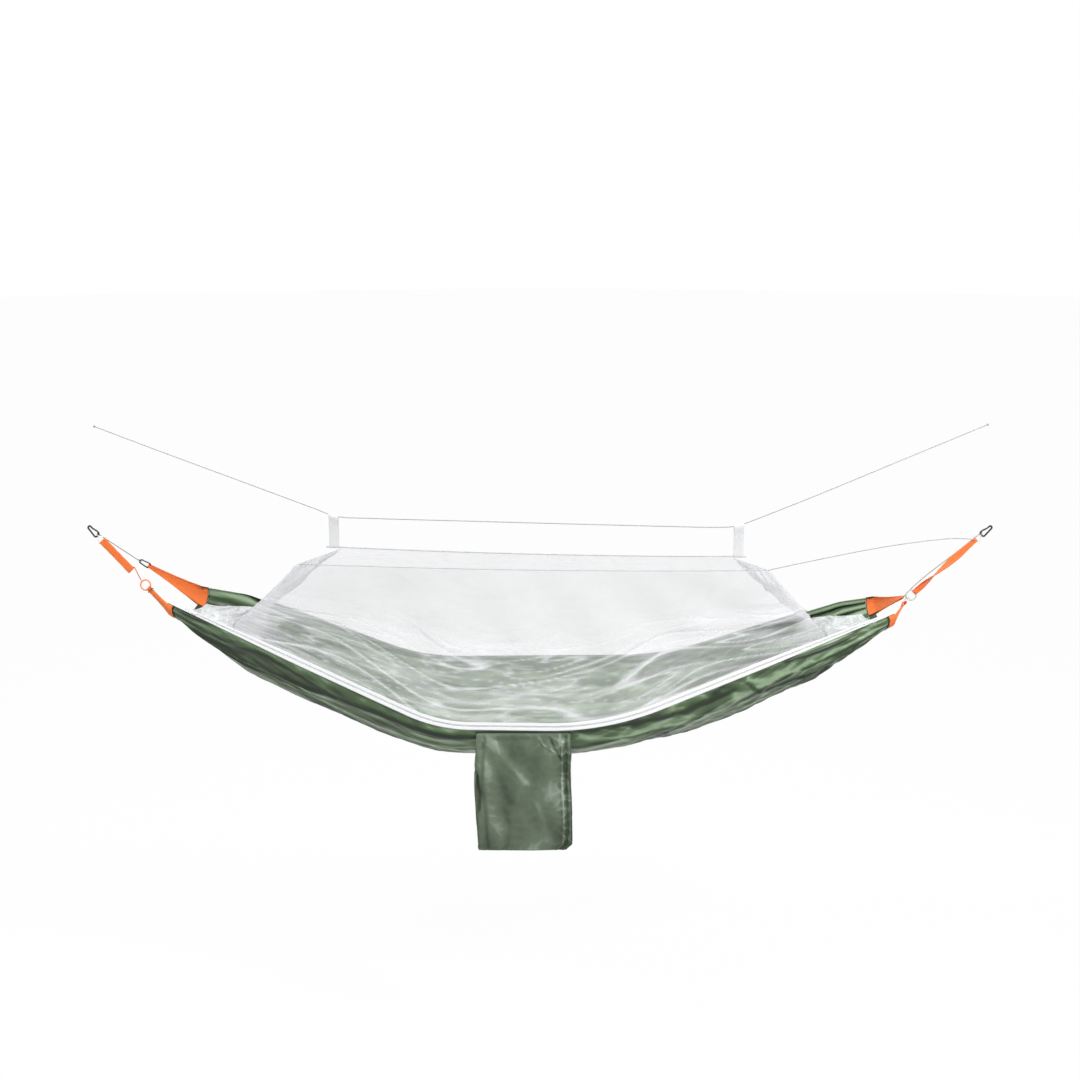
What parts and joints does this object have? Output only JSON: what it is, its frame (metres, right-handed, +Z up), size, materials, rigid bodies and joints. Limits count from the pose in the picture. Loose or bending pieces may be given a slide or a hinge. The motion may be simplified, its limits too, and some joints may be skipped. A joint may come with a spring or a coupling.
{
  "type": "hammock tent",
  "caption": "Camping hammock with a zipped-on mosquito net roof hung from a ridge line, snap hooks on webbing straps at both ends, and a stuff sack below its front edge.",
  "frame": {"origin": "point where the tip of the left snap hook bears on its anchor", "axes": "+X from the left anchor to the right one, -Y towards the zipped side, +Z up"},
  "size_m": [3.074, 0.7672, 1.352],
  "materials": {
    "nylon": "thin smooth green nylon with a soft sheen",
    "net": "fine white mosquito net",
    "orange_webbing": "orange webbing and cord",
    "white_webbing": "white woven tape",
    "grey_cord": "thin braided grey cord",
    "dark_thread": "dark whipping thread",
    "steel": "bright steel",
    "link_wire": "pale coated wire",
    "black_metal": "satin black coated aluminium",
    "white_plastic": "white moulded nylon"
  },
  "bodies": {
    "hammock": {"bed_fabric": "nylon", "corner_guy_cord": "grey_cord", "left_clip_body": "black_metal", "left_clip_pin": "steel", "left_end_hem": "nylon", "left_front_tab": "orange_webbing", "left_hook_body": "black_metal", "left_hook_cord": "grey_cord", "left_hook_pin": "steel", "left_rear_tab": "orange_webbing", "left_ridge_knot": "grey_cord", "left_ridge_tab": "white_webbing", "left_ring": "orange_webbing", "left_strap": "orange_webbing", "left_strap_cord": "orange_webbing", "left_strap_link": "link_wire", "left_tab_tie": "dark_thread", "left_zip_stop": "steel", "net_front_wall": "net", "net_left_end": "net", "net_rear_wall": "net", "net_right_end": "net", "net_roof": "net", "rear_rim_binding": "white_webbing", "ridge_cord": "grey_cord", "right_end_hem": "nylon", "right_front_tab": "orange_webbing", "right_hook_cord": "grey_cord", "right_rear_tab": "orange_webbing", "right_ridge_knot": "grey_cord", "right_ridge_tab": "white_webbing", "right_ring": "steel", "right_small_ring": "steel", "right_strap": "orange_webbing", "right_strap_link": "link_wire", "right_zip_stop": "steel", "roof_front_seam": "white_webbing", "roof_rear_hem": "white_webbing", "sack_flap": "nylon", "zip_coil": "white_plastic", "zip_tape_lower": "white_webbing", "zip_tape_upper": "white_webbing"},
    "left_hook_gate": {"left_hook_gate": "black_metal"},
    "left_clip_gate": {"left_clip_gate": "black_metal"},
    "right_hook": {"right_hook_body": "black_metal", "right_hook_pin": "steel"},
    "right_hook_gate": {"right_hook_gate": "black_metal"},
    "left_zip_slider": {"left_zip_slider": "white_plastic"},
    "left_zip_pull": {"left_zip_pull": "white_plastic"},
    "right_zip_slider": {"right_zip_slider": "white_plastic"},
    "right_zip_pull": {"right_zip_pull": "white_plastic"},
    "stuff_sack": {"sack_back_panel": "nylon", "sack_front_panel": "nylon", "sack_gusset": "nylon"}
  },
  "joints": [
    {"name": "left_hook_gate_pivot", "type": "hinge", "parent": "hammock", "child": "left_hook_gate", "pos_m": [0.02577, -0.0047, -0.01164], "axis": [-0.1241, -0.9846, 0.1232], "range_deg": [0, 24], "stiffness_Nm_per_rad": 0.02},
    {"name": "left_clip_gate_pivot", "type": "hinge", "parent": "hammock", "child": "left_clip_gate", "pos_m": [0.1858, 0.03577, -0.13315], "axis": [0.1778, -0.9754, -0.1307], "range_deg": [0, 24], "stiffness_Nm_per_rad": 0.02},
    {"name": "right_hook_swing", "type": "hinge", "parent": "hammock", "child": "right_hook", "pos_m": [3.03005, -0.00137, -0.02698], "axis": [-0.6693, 0, 0.743], "range_deg": [-60, 60]},
    {"name": "right_hook_gate_pivot", "type": "hinge", "parent": "right_hook", "child": "right_hook_gate", "pos_m": [3.0334, -0.00092, -0.01064], "axis": [-0.0253, 0.9994, -0.0228], "range_deg": [0, 24], "stiffness_Nm_per_rad": 0.02},
    {"name": "left_zip_run", "type": "slide", "parent": "hammock", "child": "left_zip_slider", "axis": [0.9018, -0.2657, -0.3407], "range_m": [0, 0.78]},
    {"name": "left_pull_lift", "type": "hinge", "parent": "left_zip_slider", "child": "left_zip_pull", "pos_m": [0.35091, -0.09451, -0.27075], "axis": [-0.4321, -0.5547, -0.7111], "range_deg": [0, 150]},
    {"name": "right_zip_run", "type": "slide", "parent": "hammock", "child": "right_zip_slider", "axis": [-0.9225, -0.2373, -0.3043], "range_m": [0, 0.72]},
    {"name": "right_pull_lift", "type": "hinge", "parent": "right_zip_slider", "child": "right_zip_pull", "pos_m": [2.64281, -0.11693, -0.2995], "axis": [-0.3859, 0.5674, 0.7274], "range_deg": [0, 150]},
    {"name": "sack_swing", "type": "hinge", "parent": "hammock", "child": "stuff_sack", "pos_m": [1.476, -0.35528, -0.61133], "axis": [-1, 0, 0], "range_deg": [0, 80]}
  ]
}
